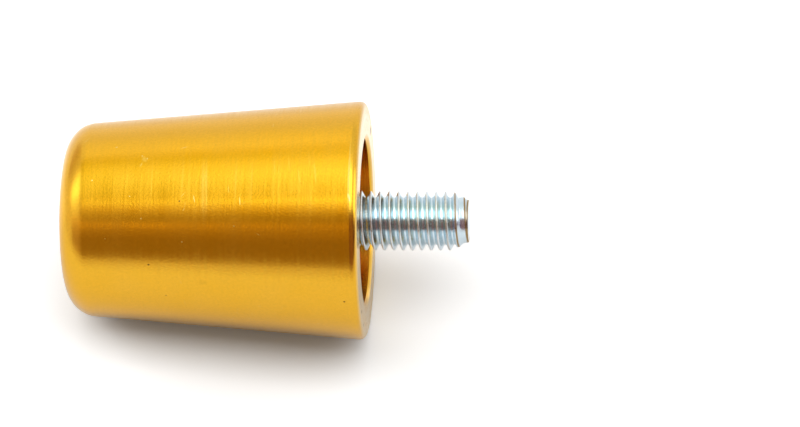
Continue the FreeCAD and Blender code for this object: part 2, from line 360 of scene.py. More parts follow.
def weight_outline(sizes):
    """The weight's section: tapered outside, recess at the grip end, stepped bore."""
    edge = sizes.edge_radius
    large = sizes.large_diameter / 2
    slope = TAPER_DROP / sizes.length
    outer = -sizes.length
    seat = outer + sizes.counterbore_depth
    recess = sizes.recess_diameter / 2
    hole = sizes.hole_diameter / 2
    bore = sizes.counterbore_diameter / 2
    broken_hole = hole + sizes.hole_chamfer
    # Just before the rim's rounding, a narrow step turns in from the taper's line
    step_width = 1.25 * sizes.rim_radius
    step_depth = 0.13 * MM
    return [
        (outer, bore + sizes.counterbore_chamfer, edge, 3),
        (outer, large - TAPER_DROP, sizes.nose_radius, 32),
        (-step_width, large - step_width * slope, edge, 4),
        (0.0, large - step_depth, sizes.rim_radius, 16),
        (0.0, recess + sizes.recess_chamfer, edge, 3),
        (-sizes.recess_chamfer, recess, edge, 3),
        (-sizes.recess_depth, recess, edge, 3),
        (-sizes.recess_depth, broken_hole, edge, 2),
        (-sizes.recess_depth - sizes.hole_chamfer, hole, edge, 2),
        (seat - sizes.hole_chamfer, hole, edge, 2),
        (seat, broken_hole, edge, 2),
        (seat, bore - sizes.floor_bevel, edge, 2),
        (seat - sizes.floor_bevel, bore, edge, 2),
        (outer + sizes.counterbore_chamfer, bore, edge, 3),
    ]


def thread_fall(share, height):
    """How far a thread's flank lies inside its crests, from one crest at a share of 0 to the next at 1."""
    crest_end = 1 / 16
    root_start = 0.41
    # The flank is a straight slope with some of a rounded one mixed in
    straight = 0.62
    rounded = 0.38
    distance = min(share, 1 - share)
    slope = min(max((distance - crest_end) / (root_start - crest_end), 0.0), 1.0)
    eased = slope * slope * (3 - 2 * slope)
    return height * (straight * slope + rounded * eased)


def hexagon_radius(angle, flat):
    """Distance from the axis to a hexagon's side at an angle, for a hexagon with that inner radius."""
    sector = math.pi / 3
    return flat / math.cos((angle + sector / 2) % sector - sector / 2)


def head_rings(sizes, segments):
    """Rings of the head and shank, from the drill point in the socket to the start of the thread."""
    slope = math.tan(math.radians(30))      # of the drill point and of the socket's lead-in
    top = SCREW_LOW.x
    seat = sizes.seat
    flat = sizes.socket_width / 2
    floor = top + sizes.socket_depth
    lead_in = 0.15 * MM
    mouth = flat / math.cos(math.pi / 6) + lead_in
    head = sizes.head_diameter / 2
    face = head - sizes.head_chamfer
    chamfer_end = top + sizes.head_chamfer
    shank = sizes.diameter / 2
    underhead = 0.3 * MM
    knurl_depth = 0.14 * MM
    thread_start = SCREW_HIGH.x - sizes.thread_length - sizes.pitch
    angles = [2 * math.pi * step / segments for step in range(segments)]
    sides = [hexagon_radius(angle, flat) for angle in angles]
    ridge = segments // KNURL_RIDGES
    waves = [abs((step % ridge) / ridge - 0.5) * 2 for step in range(segments)]

    # Drill point, socket with a rounded floor's edge, and its lead-in
    rings = [[(floor + flat * (1 - share) * slope, flat * share)] * segments for share in (0.02, 0.5, 0.97)]
    rings.append([(floor, flat * 0.985)] * segments)
    rings.append([(floor - 0.02 * MM, side * 0.995) for side in sides])
    rings.append([(floor - 0.1 * MM, side) for side in sides])
    rings.append([(top + (mouth - side) * slope, side) for side in sides])
    # Face and chamfer, with their edges rounded by less than 0.1 mm, and the plain band up to the knurl
    for x, radius in (
            (top + 0.02 * MM, mouth - 0.03 * MM), (top, mouth + 0.03 * MM), (top, face - 0.08 * MM),
            (top + 0.05 * MM, face + 0.05 * MM), (chamfer_end - 0.05 * MM, head - 0.05 * MM),
            (chamfer_end + 0.08 * MM, head)):
        rings.append([(x, radius)] * segments)
    # Knurl
    for x in (chamfer_end + 0.35 * MM, seat - 0.9 * MM):
        rings.append([(x, head - knurl_depth * wave) for wave in waves])
    # Plain band above the seat, bevel under the head, and shank
    for x, radius in (
            (seat - 0.6 * MM, head), (seat - 0.1 * MM, head), (seat, head - 0.1 * MM),
            (seat, shank + underhead), (seat + underhead, shank), (thread_start - 0.1 * MM, shank),
            (thread_start, sizes.crest_diameter / 2)):
        rings.append([(x, radius)] * segments)
    return rings


def first_crest(sizes):
    """Where a crest of the thread crosses the +Y side."""
    top_angle = math.atan2(CAMERA_UP[2], CAMERA_UP[1])
    return sizes.crest_place - sizes.pitch * top_angle / (2 * math.pi)


def make_screw_mesh(sizes, segments):
    """Points and faces of the screw: lathed head and shank, right-hand thread, and the tip's cone."""
    points = []
    faces = []

    def place(x, radius, step):
        angle = 2 * math.pi * step / segments
        points.append((x, radius * math.cos(angle), radius * math.sin(angle)))

    # Head and shank
    rings = head_rings(sizes, segments)
    for ring in rings:
        for step, (x, radius) in enumerate(ring):
            place(x, radius, step)
    for index in range(len(rings) - 1):
        for step in range(segments):
            following = (step + 1) % segments
            here = index * segments
            there = here + segments
            faces.append((here + step, there + step, there + following, here + following))
    faces.append(tuple(range(segments)))

    # Thread: the samples run along the helix, so that crests and roots stay sharp
    crest = sizes.crest_diameter / 2
    iso_depth = 0.6134      # a metric thread's depth as a share of its pitch
    height = iso_depth * sizes.pitch
    tip = SCREW_HIGH.x
    start = tip - sizes.thread_length - sizes.pitch
    cone_start = tip - sizes.tip_length
    run_out = 1.4 * sizes.pitch
    # The tip's cone keeps a shallow groove, which fades out before the end face
    groove_share = 0.2
    groove_fade = 0.3 * MM
    crest_start = first_crest(sizes)
    turns = math.ceil((tip - start) / sizes.pitch) + 3
    first_turn = math.floor((start - crest_start) / sizes.pitch) - 1
    shares = [0.0, 0.045, 0.08, 0.16, 0.25, 0.34, 0.41, 0.5, 0.59, 0.66, 0.75, 0.84, 0.92, 0.955]
    count = turns * len(shares)
    base = len(points)
    for step in range(segments):
        for turn in range(turns):
            for share in shares:
                x = crest_start + sizes.pitch * (first_turn + turn + share + step / segments)
                x = min(max(x, start), tip)
                phase = ((x - crest_start) / sizes.pitch - step / segments) % 1.0
                depth = min((x - start) / run_out, 1.0)
                radius = crest - thread_fall(phase, height) * depth
                if x > cone_start:
                    cone = crest - sizes.tip_step * (x - cone_start) / sizes.tip_length
                    groove = groove_share * thread_fall(phase, height) * min((tip - x) / groove_fade, 1.0)
                    radius = min(radius, cone - groove)
                place(x, radius, step)
    for step in range(segments):
        here = base + step * count
        there = base + (step + 1) % segments * count
        shift = len(shares) if step == segments - 1 else 0
        for index in range(count - 1 - shift):
            first = here + index + shift
            faces.append((first, first + 1, there + index + 1, there + index))
    return points, faces


def make_screw(sizes):
    """The screw as one closed mesh object."""
    points, faces = make_screw_mesh(sizes, SCREW_SEGMENTS)
    made = make_object("socket_head_screw", points, faces)
    shape = bmesh.new()
    shape.from_mesh(made.data)
    bmesh.ops.remove_doubles(shape, verts=shape.verts, dist=1 * MICRON)
    bmesh.ops.dissolve_degenerate(shape, edges=shape.edges, dist=0.1 * MICRON)
    rim = [edge for edge in shape.edges if edge.is_boundary]
    bmesh.ops.holes_fill(shape, edges=rim, sides=0)
    bmesh.ops.recalc_face_normals(shape, faces=shape.faces)
    shape.to_mesh(made.data)
    shape.free()
    made.data.shade_smooth()
    # Keeps the roots and the knurl's ridges sharp, and smooths the crests and the knurl's valleys
    sharp_angle = math.radians(38)
    made.data.set_sharp_from_angle(angle=sharp_angle)
    return made


def anodised_aluminium(sizes):
    """Gold anodised aluminium: fine turned, polished and dyed gold.

    The dyed oxide tints every reflection gold and pales it towards the edges. Fine rings from the turning
    tool streak the highlights, and small scratches, specks and smudges break them.
    """
    material, tree = new_material("gold anodised aluminium")
    place = add_node(tree, "ShaderNodeTexCoord", {}).outputs["Object"]
    split = add_node(tree, "ShaderNodeSeparateXYZ", {0: place})
    radius = from_axis(tree, place)
    # Runs on without a jump along the tapered side and in over the flat ring
    along = add_node(tree, "ShaderNodeMath", {0: split.outputs["X"], 1: radius}, operation="SUBTRACT")
    front = add_node(tree, "ShaderNodeMath", {0: split.outputs["Y"], 1: -1.0}, operation="MULTIPLY")
    angle = add_node(tree, "ShaderNodeMath", {0: split.outputs["Z"], 1: front.outputs[0]},
                     operation="ARCTAN2")
    around_it = add_node(tree, "ShaderNodeMath", {0: angle.outputs[0], 1: radius}, operation="MULTIPLY")
    skin = add_node(tree, "ShaderNodeCombineXYZ", {"X": along.outputs[0], "Y": around_it.outputs[0]})

    def marks_mask(marks, vector, oval_of):
        """The strongest of some soft oval marks at each point."""
        strongest = None
        for where, degrees, size, width, tilt, strength in marks:
            centre, turn, half_sizes = oval_of(where * MM, math.radians(degrees), size / 2 * MM,
                                               width / 2 * MM, math.radians(tilt))
            turned = add_node(tree, "ShaderNodeMapping", {
                "Vector": vector, "Location": centre, "Rotation": turn, "Scale": half_sizes},
                vector_type="TEXTURE")
            away = add_node(tree, "ShaderNodeVectorMath", {0: turned.outputs[0]}, operation="LENGTH")
            mask = add_node(tree, "ShaderNodeMapRange", {
                "Value": away.outputs["Value"], "From Min": 1.1, "From Max": 0.4, "To Max": strength})
            if strongest is None:
                strongest = mask.outputs[0]
            else:
                strongest = add_node(tree, "ShaderNodeMath", {0: strongest, 1: mask.outputs[0]},
                                     operation="MAXIMUM").outputs[0]
        return strongest

    def on_side(where, turned_up, size, width, tilt):
        """A mark's place, turn and half sizes on the skin of the tapered side."""
        distance = sizes.large_diameter / 2 + where * TAPER_DROP / sizes.length
        return (where - distance, turned_up * distance, 0.0), (0.0, 0.0, tilt), (size, width, 1.0)

    def on_face(where, turned_up, size, width, tilt):
        """A nick's place, turn and half sizes in the flat ring. It reaches 0.4 mm along the axis."""
        centre = (0.0, -where * math.cos(turned_up), where * math.sin(turned_up))
        return centre, (math.pi - turned_up + tilt, 0.0, 0.0), (0.4 * MM, size, width)

    pale = marks_mask(PALE_MARKS, skin.outputs[0], on_side)
    dark = marks_mask(DARK_MARKS, skin.outputs[0], on_side)
    nicks = marks_mask(FACE_MARKS, place, on_face)
    spots = add_node(tree, "ShaderNodeMath", {0: dark, 1: nicks}, operation="MAXIMUM")

    # Rings from the turning tool: a feed of about 0.1 mm, drawn near 0.3 mm so that it shows
    feed = 0.3 * MM
    ring_reach = 25.0 * MM
    rings = add_node(tree, "ShaderNodeCombineXYZ", {"X": along.outputs[0], "Y": split.outputs["Y"],
                                                    "Z": split.outputs["Z"]})
    ring_scale = add_node(tree, "ShaderNodeVectorMath", {0: rings.outputs[0],
                                                         1: (1 / feed, 1 / ring_reach, 1 / ring_reach)},
                          operation="MULTIPLY")
    ring_noise = add_node(tree, "ShaderNodeTexNoise", {"Vector": ring_scale.outputs[0], "Scale": 1.0,
                                                       "Detail": 3.0, "Roughness": 0.6})
    # Smudges from handling, about 5 mm wide
    smudge = add_node(tree, "ShaderNodeTexNoise", {"Vector": place, "Scale": 1 / (5.0 * MM),
                                                   "Detail": 4.0, "Roughness": 0.55})

    # Specks of dust and pits under 0.1 mm, drawn about 0.12 mm wide in cells of 2.5 mm
    cells = add_node(tree, "ShaderNodeTexVoronoi", {"Vector": place, "Scale": 1 / (2.5 * MM),
                                                    "Randomness": 1.0}, feature="F1")
    speck = add_node(tree, "ShaderNodeMapRange", {"Value": cells.outputs["Distance"], "From Min": 0.035,
                                                  "From Max": 0.015})
    lottery = add_node(tree, "ShaderNodeSeparateXYZ", {0: cells.outputs["Color"]})
    chosen = add_node(tree, "ShaderNodeMath", {0: lottery.outputs["X"], 1: 0.72},
                      operation="GREATER_THAN")
    specks = add_node(tree, "ShaderNodeMath", {0: speck.outputs[0], 1: chosen.outputs[0]},
                      operation="MULTIPLY")

    # Hair scratches: the thin lines where a noise, stretched to about 2 by 17 by 4 mm, passes its middle.
    # They are kept only here and there
    slanted = add_node(tree, "ShaderNodeMapping", {"Vector": place, "Rotation": (0.5, 0.9, 0.3),
                                                   "Scale": (420.0, 60.0, 260.0)})
    waves = add_node(tree, "ShaderNodeTexNoise", {"Vector": slanted.outputs[0], "Scale": 1.0,
                                                  "Detail": 0.0})
    middle = add_node(tree, "ShaderNodeMath", {0: waves.outputs[0], 1: 0.5}, operation="SUBTRACT")
    nearness = add_node(tree, "ShaderNodeMath", {0: middle.outputs[0]}, operation="ABSOLUTE")
    line = add_node(tree, "ShaderNodeMapRange", {"Value": nearness.outputs[0], "From Min": 0.006,
                                                 "From Max": 0.0})
    rare = add_node(tree, "ShaderNodeTexNoise", {"Vector": place, "Scale": 1 / (2.2 * MM), "Detail": 1.0})
    kept = add_node(tree, "ShaderNodeMapRange", {"Value": rare.outputs[0], "From Min": 0.66,
                                                 "From Max": 0.72})
    scratches = add_node(tree, "ShaderNodeMath", {0: line.outputs[0], 1: kept.outputs[0]},
                         operation="MULTIPLY")

    # Roughness of a bright anodised finish, with the rings, smudges and specks in it
    ring_rough = add_node(tree, "ShaderNodeMapRange", {"Value": ring_noise.outputs[0], "From Min": 0.3,
                                                       "From Max": 0.7, "To Min": -0.05, "To Max": 0.05})
    smudge_rough = add_node(tree, "ShaderNodeMapRange", {"Value": smudge.outputs[0], "From Min": 0.35,
                                                         "From Max": 0.7, "To Min": 0.17, "To Max": 0.23})
    rough_sum = add_node(tree, "ShaderNodeMath", {0: ring_rough.outputs[0], 1: smudge_rough.outputs[0]},
                         operation="ADD")
    speckled = add_node(tree, "ShaderNodeMath", {0: specks.outputs[0], 1: pale}, operation="MAXIMUM")
    worn_rough = add_node(tree, "ShaderNodeMath", {0: speckled.outputs[0], 1: 0.25,
                                                   2: rough_sum.outputs[0]}, operation="MULTIPLY_ADD")
    rough = add_node(tree, "ShaderNodeMath", {0: spots.outputs[0], 1: 0.6, 2: worn_rough.outputs[0]},
                     operation="MULTIPLY_ADD", use_clamp=True)
    # Dirt in the pits and nicks is matt and isn't metal
    clean = add_node(tree, "ShaderNodeMath", {0: spots.outputs[0], 1: -1.0, 2: 1.0},
                     operation="MULTIPLY_ADD", use_clamp=True)

    # Colour: the dye lies a little unevenly, and specks and scratches are paler. The pale turning rings and
    # the rim's pale edge are partly painted highlight
    dye = add_node(tree, "ShaderNodeMapRange", {"Value": smudge.outputs[0], "From Min": 0.3,
                                                "From Max": 0.7, "To Max": 0.02})
    hairs = add_node(tree, "ShaderNodeMath", {0: scratches.outputs[0], 1: 0.5, 2: dye.outputs[0]},
                     operation="MULTIPLY_ADD")
    marks = add_node(tree, "ShaderNodeMath", {0: pale, 1: hairs.outputs[0]}, operation="MAXIMUM")
    dyed = add_node(tree, "ShaderNodeMix", {"Factor": marks.outputs[0], "A": opaque(sizes.colour),
                                            "B": opaque(sizes.scratch_and_highlight_colour)}, data_type="RGBA")
    # The flat ring at the large end is paler: partly a facing cut that took the dye less well, partly a
    # painted sheen that brightens its grazing reflection
    face = add_node(tree, "ShaderNodeMapRange", {"Value": split.outputs["X"], "From Min": -0.30 * MM,
                                                 "From Max": -0.05 * MM, "To Max": 0.8})
    faced_and_sheen_mix = add_node(tree, "ShaderNodeMix", {"Factor": face.outputs[0], "A": dyed.outputs["Result"],
                                             "B": opaque(sizes.faced_and_sheen_colour)}, data_type="RGBA")
    coloured = add_node(tree, "ShaderNodeMix", {"Factor": spots.outputs[0], "A": faced_and_sheen_mix.outputs["Result"],
                                                "B": opaque(sizes.pit_colour)}, data_type="RGBA")
    oxide = add_node(tree, "ShaderNodeTexNoise", {"Vector": place, "Scale": 1 / (0.3 * MM), "Detail": 2.0})
    depth = add_node(tree, "ShaderNodeMapRange", {"Value": oxide.outputs[0], "From Min": 0.3,
                                                  "From Max": 0.7, "To Min": 0.96, "To Max": 1.04})
    colour = add_node(tree, "ShaderNodeHueSaturation", {"Value": depth.outputs[0],
                                                        "Color": coloured.outputs["Result"]})

    # Relief of the rings, of the oxide's grain and of the scratches. Real rings are under two microns deep,
    # and the grain is under 0.1 mm wide. Both are drawn coarser, and deeper to keep their slopes
    heights = add_node(tree, "ShaderNodeMath", {0: oxide.outputs[0], 1: 1.5, 2: ring_noise.outputs[0]},
                       operation="MULTIPLY_ADD")
    relief = add_node(tree, "ShaderNodeBump", {"Strength": 1.0, "Distance": 5 * MICRON,
                                               "Height": heights.outputs[0]})
    cuts = add_node(tree, "ShaderNodeBump", {"Strength": 0.6, "Distance": 4 * MICRON,
                                             "Height": scratches.outputs[0],
                                             "Normal": relief.outputs[0]}, invert=True)
    around = add_node(tree, "ShaderNodeTangent", {}, direction_type="RADIAL", axis="X")
    surface = add_node(tree, "ShaderNodeBsdfPrincipled", {
        "Base Color": colour.outputs["Color"], "Metallic": clean.outputs[0], "Roughness": rough.outputs[0],
        "Specular IOR Level": 0.1, "Anisotropic": 0.4, "Anisotropic Rotation": 0.25,
        "Tangent": around.outputs[0], "Normal": cuts.outputs[0]})
    add_node(tree, "ShaderNodeOutputMaterial", {"Surface": surface.outputs[0]})
    return material


def zinc_plated_steel(sizes):
    """Bright zinc-plated steel with a clear passivation.

    It shines bluish white, and the thin passivation leaves pale flecks on the crests, and brown at the tip.
    """
    material, tree = new_material("bright zinc-plated steel")
    place = add_node(tree, "ShaderNodeTexCoord", {}).outputs["Object"]
    split = add_node(tree, "ShaderNodeSeparateXYZ", {0: place})

    # How far each point of the thread lies from its crest, from 0 to half a turn
    angle = add_node(tree, "ShaderNodeMath", {0: split.outputs["Z"], 1: split.outputs["Y"]},
                     operation="ARCTAN2")
    turn = add_node(tree, "ShaderNodeMath", {0: angle.outputs[0], 1: -0.5 / math.pi,
                                             2: -first_crest(sizes) / sizes.pitch},
                    operation="MULTIPLY_ADD")
    phase = add_node(tree, "ShaderNodeMath", {0: split.outputs["X"], 1: 1 / sizes.pitch,
                                              2: turn.outputs[0]}, operation="MULTIPLY_ADD")
    from_crest = add_node(tree, "ShaderNodeMath", {0: phase.outputs[0], 1: 0.5}, operation="PINGPONG")
    threaded = add_node(tree, "ShaderNodeMath", {0: split.outputs["X"],
                                                 1: SCREW_HIGH.x - sizes.thread_length},
                        operation="GREATER_THAN")
    crest = add_node(tree, "ShaderNodeMapRange", {"Value": from_crest.outputs[0], "From Min": 0.13,
                                                  "From Max": 0.05})
    radius = from_axis(tree, place)
    outside = add_node(tree, "ShaderNodeMapRange", {"Value": radius, "From Min": 2.2 * MM,
                                                    "From Max": 2.7 * MM})
    thread_side = add_node(tree, "ShaderNodeMath", {0: threaded.outputs[0], 1: outside.outputs[0]},
                           operation="MULTIPLY")
    on_crest = add_node(tree, "ShaderNodeMath", {0: crest.outputs[0], 1: thread_side.outputs[0]},
                        operation="MULTIPLY")

    # The passivation's tint comes in flecks of about 0.15 mm on the crests, and turns brown towards the tip
    flecks = add_node(tree, "ShaderNodeTexNoise", {"Vector": place, "Scale": 1 / (0.3 * MM), "Detail": 2.0,
                                                   "Roughness": 0.7})
    flecked = add_node(tree, "ShaderNodeMapRange", {"Value": flecks.outputs[0], "From Min": 0.35,
                                                    "From Max": 0.6, "To Min": 0.2, "To Max": 1.0})
    tinted = add_node(tree, "ShaderNodeMath", {0: on_crest.outputs[0], 1: flecked.outputs[0]},
                      operation="MULTIPLY")
    near_tip = add_node(tree, "ShaderNodeMapRange", {"Value": split.outputs["X"],
                                                     "From Min": SCREW_HIGH.x - 3.4 * MM,
                                                     "From Max": SCREW_HIGH.x - 1.4 * MM})
    tip_edge = add_node(tree, "ShaderNodeMapRange", {"Value": split.outputs["X"],
                                                     "From Min": SCREW_HIGH.x - 0.30 * MM,
                                                     "From Max": SCREW_HIGH.x - 0.12 * MM})
    tip_line = add_node(tree, "ShaderNodeMath", {0: tip_edge.outputs[0], 1: outside.outputs[0]},
                        operation="MULTIPLY")
    lines = add_node(tree, "ShaderNodeMath", {0: on_crest.outputs[0], 1: tip_line.outputs[0]},
                     operation="MAXIMUM")
    brown = add_node(tree, "ShaderNodeMath", {0: lines.outputs[0], 1: near_tip.outputs[0]},
                     operation="MULTIPLY")
    plated = add_node(tree, "ShaderNodeMix", {"Factor": tinted.outputs[0], "A": opaque(sizes.colour),
                                              "B": opaque(sizes.tint_colour)}, data_type="RGBA")
    colour = add_node(tree, "ShaderNodeMix", {"Factor": brown.outputs[0], "A": plated.outputs["Result"],
                                              "B": opaque(sizes.tip_colour)}, data_type="RGBA")

    # Grain of the plating, about 0.05 mm, drawn near 0.15 mm so that it shows
    grain = add_node(tree, "ShaderNodeTexNoise", {"Vector": place, "Scale": 1 / (0.15 * MM), "Detail": 2.0,
                                                  "Roughness": 0.6})
    plain_rough = add_node(tree, "ShaderNodeMapRange", {"Value": grain.outputs[0], "From Min": 0.3,
                                                        "From Max": 0.7, "To Min": 0.16, "To Max": 0.28})
    rough = add_node(tree, "ShaderNodeMath", {0: tinted.outputs[0], 1: 0.22, 2: plain_rough.outputs[0]},
                     operation="MULTIPLY_ADD")
    relief = add_node(tree, "ShaderNodeBump", {"Strength": 1.0, "Distance": 3 * MICRON,
                                               "Height": grain.outputs[0]})
    surface = add_node(tree, "ShaderNodeBsdfPrincipled", {
        "Base Color": colour.outputs["Result"], "Metallic": 1.0, "Roughness": rough.outputs[0],
        "Normal": relief.outputs[0]})
    add_node(tree, "ShaderNodeOutputMaterial", {"Surface": surface.outputs[0]})
    return material


def matt_floor(colours):
    """Matt white paper floor, lit by the lamps and carrying the object's shadow.

    The camera sees it two fifths brighter than the metal does, so that it turns white a little way from the
    object, and far off it is plain white. It throws little light back, which keeps the gold glow in the
    shadow faint. These gains were set against the photograph.
    """
    material, tree = new_material("matt white paper")
    path = add_node(tree, "ShaderNodeLightPath", {})
    camera_gain = 1.4
    bounce_gain = 0.3
    # Painted light: the floor just behind the object is this much brighter, but only in the metal's
    # reflections
    painted_glow_gain = 1.25

    def brightened(gain):
        """The floor's colour times a gain."""
        return opaque([channel * gain for channel in colours.floor_colour])

    place = add_node(tree, "ShaderNodeTexCoord", {}).outputs["Object"]
    spot = add_node(tree, "ShaderNodeSeparateXYZ", {0: place})
    behind = add_node(tree, "ShaderNodeMapRange", {"Value": spot.outputs["Y"], "From Min": 0.0,
                                                   "From Max": 20 * MM})
    near = add_node(tree, "ShaderNodeMapRange", {"Value": spot.outputs["Y"], "From Min": 48 * MM,
                                                 "From Max": 30 * MM})
    # A painted pool of light on the floor behind the object, seen only by the metal: full from 20 to 30 mm
    # behind it and gone by 48 mm
    painted_glow_strip = add_node(tree, "ShaderNodeMath", {0: behind.outputs[0], 1: near.outputs[0]},
                           operation="MULTIPLY")
    reflected = add_node(tree, "ShaderNodeMix", {
        "Factor": painted_glow_strip.outputs[0], "A": opaque(colours.floor_colour),
        "B": brightened(painted_glow_gain)}, data_type="RGBA")
    unseen = add_node(tree, "ShaderNodeMix", {
        "Factor": path.outputs["Diffuse Depth"], "A": reflected.outputs["Result"],
        "B": brightened(bounce_gain)}, data_type="RGBA")
    colour = add_node(tree, "ShaderNodeMix", {
        "Factor": path.outputs["Is Camera Ray"], "A": unseen.outputs["Result"],
        "B": brightened(camera_gain)}, data_type="RGBA")
    surface = add_node(tree, "ShaderNodeBsdfDiffuse", {"Color": colour.outputs["Result"]})
    # Far off, and only to the camera and to the metal, it glows white like a backdrop. In front of the
    # object the metal sees it a little darker and warmer
    plain_white = (1.0, 1.0, 1.0, 1.0)
    warm_white = (0.86, 0.82, 0.80, 1.0)
    off_white = add_node(tree, "ShaderNodeMix", {"Factor": behind.outputs[0], "A": warm_white,
                                                 "B": plain_white}, data_type="RGBA")
    backdrop = add_node(tree, "ShaderNodeMix", {"Factor": path.outputs["Is Camera Ray"],
                                                "A": off_white.outputs["Result"], "B": plain_white},
                        data_type="RGBA")
    white = add_node(tree, "ShaderNodeEmission", {"Color": backdrop.outputs["Result"], "Strength": 1.0})
    distance = add_node(tree, "ShaderNodeVectorMath", {0: place}, operation="LENGTH")
    far = add_node(tree, "ShaderNodeMapRange", {"Value": distance.outputs["Value"], "From Min": 100 * MM,
                                                "From Max": 250 * MM},
                   interpolation_type="SMOOTHSTEP")
    looked_at = add_node(tree, "ShaderNodeMath", {0: path.outputs["Is Camera Ray"],
                                                  1: path.outputs["Is Glossy Ray"]}, operation="MAXIMUM")
    plain = add_node(tree, "ShaderNodeMath", {0: far.outputs[0], 1: looked_at.outputs[0]},
                     operation="MULTIPLY")
    mixed = add_node(tree, "ShaderNodeMixShader", {0: plain.outputs[0], 1: surface.outputs[0],
                                                   2: white.outputs[0]})
    add_node(tree, "ShaderNodeOutputMaterial", {"Surface": mixed.outputs[0]})
    return material


def make_world(colours):
    """Surroundings: white to the camera, and to the metal a dim warm room with soft lamps and a backdrop.

    They are no model of a real studio. Each strip was set against the photograph. From left to
    right, the nose mostly reflects the second, the tapered side the third and fourth, the thread's crests
    and roots the fifth and sixth, and the rim and the screw's tip the last three.
    """
    world = bpy.data.worlds.new("studio")
    world.use_nodes = True
    # Only rays that bounce off a surface find the surroundings, so each kind of ray has its own version
    world.cycles.sampling_method = "NONE"
    bpy.context.scene.world = world
    tree = world.node_tree
    tree.nodes.clear()
    place = add_node(tree, "ShaderNodeTexCoord", {}).outputs["Generated"]
    split = add_node(tree, "ShaderNodeSeparateXYZ", {0: place})
    front = add_node(tree, "ShaderNodeMath", {0: split.outputs["Y"], 1: -1.0}, operation="MULTIPLY")
    angle = add_node(tree, "ShaderNodeMath", {0: split.outputs["Z"], 1: front.outputs[0]},
                     operation="ARCTAN2")
    share = add_node(tree, "ShaderNodeMath", {0: angle.outputs[0], 1: math.pi}, operation="DIVIDE")
    room = tuple(colours.room_colour)
    # Each stop is an angle in degrees, from level in front over straight up to level behind, and the light
    # from there
    front_stops = [
        (0, (0.85, 0.76, 0.70)),
        (4, (0.48, 0.36, 0.20)),
        (9, (0.37, 0.25, 0.09)),
        (15, room),
        (29, room),
        (36, tuple(channel * 1.30 for channel in room)),
    ]
    back_stops = [
        (160, (0.95, 0.95, 0.95)),
        (168, (0.95, 0.95, 0.95)),
        (176, (1.0, 1.0, 1.0)),
    ]
    wall_stops = [
        (0, (0.97, 0.96, 0.95)),
        (60, (0.92, 0.84, 0.75)),
        (120, (0.92, 0.87, 0.80)),
        (180, (0.98, 0.98, 0.98)),
    ]
    # For the nose, and brightest from straight above
    reflector_stops = [
        (0, (0.95, 0.90, 0.85)),
        (7, (0.62, 0.48, 0.35)),
        (20, (0.48, 0.34, 0.26)),
        (35, (0.62, 0.45, 0.30)),
        (48, (0.85, 0.66, 0.45)),
        (62, (1.05, 1.00, 0.85)),
        (76, (1.30, 1.40, 1.25)),
        (88, (2.10, 2.20, 2.05)),
        (104, (2.00, 2.10, 1.95)),
        (118, (1.10, 1.12, 1.00)),
        (130, (0.84, 0.80, 0.72)),
        (150, (0.72, 0.62, 0.50)),
        (164, (0.72, 0.60, 0.55)),
        (176, (0.86, 0.80, 0.75)),
    ]
    dim_stops = [
        (40, (0.54, 0.36, 0.09)),
        (44, (1.10, 0.72, 0.16)),
        (48, (0.48, 0.37, 0.09)),
        (56, (0.50, 0.37, 0.09)),
        (64, (0.66, 0.48, 0.12)),
        (72, (0.74, 0.65, 0.15)),
        (84, (0.76, 0.745, 0.18)),
        (98, (0.82, 0.85, 0.24)),
        (111, (0.92, 0.92, 0.30)),
        (121, (0.80, 0.75, 0.18)),
        (127, (0.84, 0.80, 0.35)),
        (134, (1.00, 1.00, 0.9)),
        (150, (1.00, 1.00, 0.9)),
    ]
    bright_stops = [
        (43, (0.40, 0.235, 0.06)),
        (53, (0.43, 0.28, 0.07)),
        (61, (1.06, 0.79, 0.11)),
        (67, (1.50, 1.40, 0.45)),
        (70, (2.20, 2.25, 0.85)),
        (74, (1.14, 1.06, 0.20)),
        (83, (1.30, 1.28, 0.48)),
        (98, (1.68, 1.72, 0.95)),
        (111, (1.50, 1.50, 0.60)),
        (121, (1.10, 1.06, 0.20)),
        (127, (1.12, 1.03, 0.28)),
        (136, (1.28, 1.24, 0.8)),
        (148, (1.09, 1.07, 0.8)),
    ]
    hot_stops = [
        (62, (1.30, 1.35, 1.40)),
        (68, (3.6, 3.6, 3.5)),
        (90, (3.6, 3.6, 3.5)),
        (100, (1.75, 1.80, 1.85)),
        (112, (1.00, 1.07, 1.07)),
        (126, (0.86, 0.93, 0.93)),
        (148, (0.82, 0.87, 0.88)),
    ]
    # For the thread's crests and roots: the bright stretch is longer than in the last list, and cooler
    glint_stops = [
        (62, (1.30, 1.35, 1.42)),
        (68, (3.1, 3.4, 3.6)),
        (97, (3.1, 3.4, 3.6)),
        (108, (1.60, 1.70, 1.82)),
        (120, (0.97, 1.02, 1.07)),
        (148, (0.82, 0.86, 0.90)),
    ]
    dark_front_stops = [
        (0, (0.85, 0.80, 0.80)),
        (4, (0.20, 0.11, 0.14)),
        (12, (0.14, 0.065, 0.11)),
        (55, (0.18, 0.10, 0.14)),
    ]
    rim_front_stops = [
        (0, (0.70, 0.62, 0.60)),
        (4, (0.30, 0.16, 0.14)),
        (12, (0.27, 0.13, 0.12)),
        (55, (0.30, 0.16, 0.14)),
    ]
    side_stops = [
        (64, (1.05, 1.12, 1.15)),
        (90, (1.15, 1.25, 1.28)),
        (110, (0.96, 0.96, 0.92)),
        (130, (0.88, 0.88, 0.84)),
        (150, (0.85, 0.85, 0.82)),
    ]

    def ramp_of(stops):
        ramp = add_node(tree, "ShaderNodeValToRGB", {"Fac": share.outputs[0]})
        fill_ramp(ramp, [(degrees / 180, colour) for degrees, colour in stops])
        return ramp.outputs[0]

